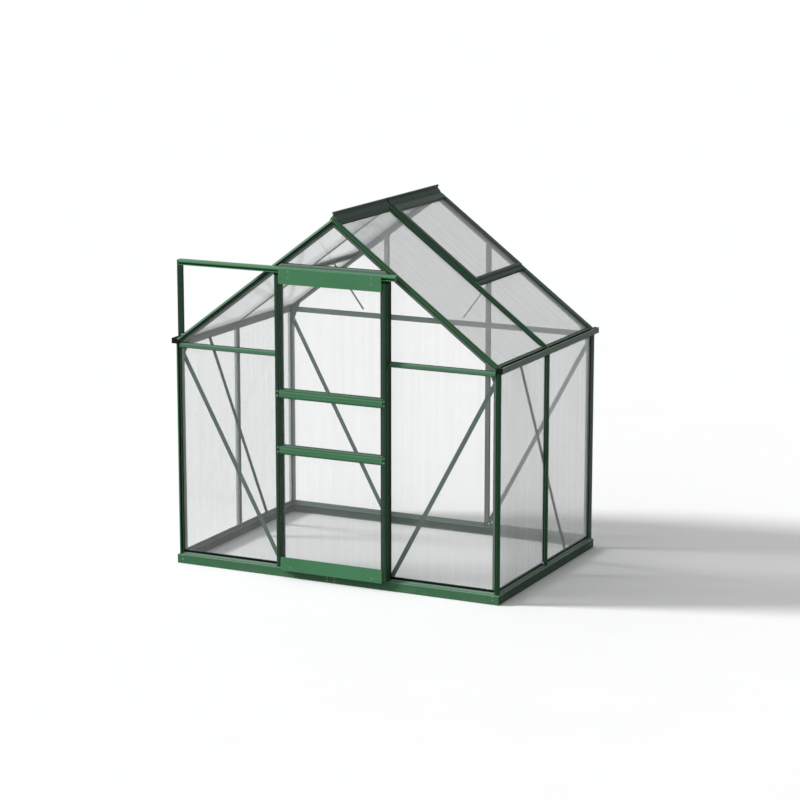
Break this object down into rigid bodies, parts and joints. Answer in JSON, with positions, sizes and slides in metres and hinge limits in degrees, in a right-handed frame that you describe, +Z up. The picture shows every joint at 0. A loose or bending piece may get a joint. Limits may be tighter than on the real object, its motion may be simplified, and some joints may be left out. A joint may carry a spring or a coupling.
{
  "type": "polycarbonate greenhouse",
  "caption": "Small gabled greenhouse: painted aluminium bars on a folded base, clear twin-wall sheets, a sliding door on a hooded track and vents in the roof.",
  "frame": {"origin": "middle of the whole footprint, at ground level under the base", "axes": "+Z up, +Y from the door gable to the back gable, +X to the right seen from the door"},
  "size_m": [1.928, 1.32, 1.9679],
  "materials": {
    "green_paint": "satin",
    "base_paint": "satin",
    "dark_paint": "satin",
    "clear_sheet": "gloss",
    "zinc": "satin",
    "nylon": "satin"
  },
  "bodies": {
    "house": {"base_front": "base_paint", "base_back": "base_paint", "base_left": "base_paint", "base_right": "base_paint", "sill_front": "green_paint", "sill_back": "green_paint", "sill_sides": "green_paint", "post_front_left": "green_paint", "post_front_right": "green_paint", "post_back_left": "green_paint", "post_back_right": "green_paint", "door_posts": "green_paint", "mullions_back": "green_paint", "mullions_side": "green_paint", "gutter_left": "dark_paint", "gutter_right": "dark_paint", "ridge": "dark_paint", "rafter_front_left": "green_paint", "rafter_front_right": "green_paint", "rafter_back_left": "green_paint", "rafter_back_right": "green_paint", "roof_bars": "green_paint", "roof_cross_bars": "dark_paint", "tie_front": "green_paint", "tie_back": "green_paint", "door_header": "green_paint", "door_track": "green_paint", "track_support": "green_paint", "gussets": "green_paint", "braces": "zinc", "sheets_front": "clear_sheet", "sheets_back": "clear_sheet", "sheets_left": "clear_sheet", "sheets_right": "clear_sheet", "roof_sheets_left": "clear_sheet", "roof_sheets_right": "clear_sheet", "vent_frames": "dark_paint", "vent_sheets": "clear_sheet", "vent_stays": "zinc"},
    "door": {"door_stiles": "green_paint", "door_rails": "green_paint", "door_head_plate": "green_paint", "door_foot_plate": "green_paint", "door_sheets": "clear_sheet", "door_rollers": "nylon"}
  },
  "joints": [
    {"name": "door_slide", "type": "slide", "parent": "house", "child": "door", "axis": [1, 0, 0], "range_m": [-0.6, 0]}
  ]
}
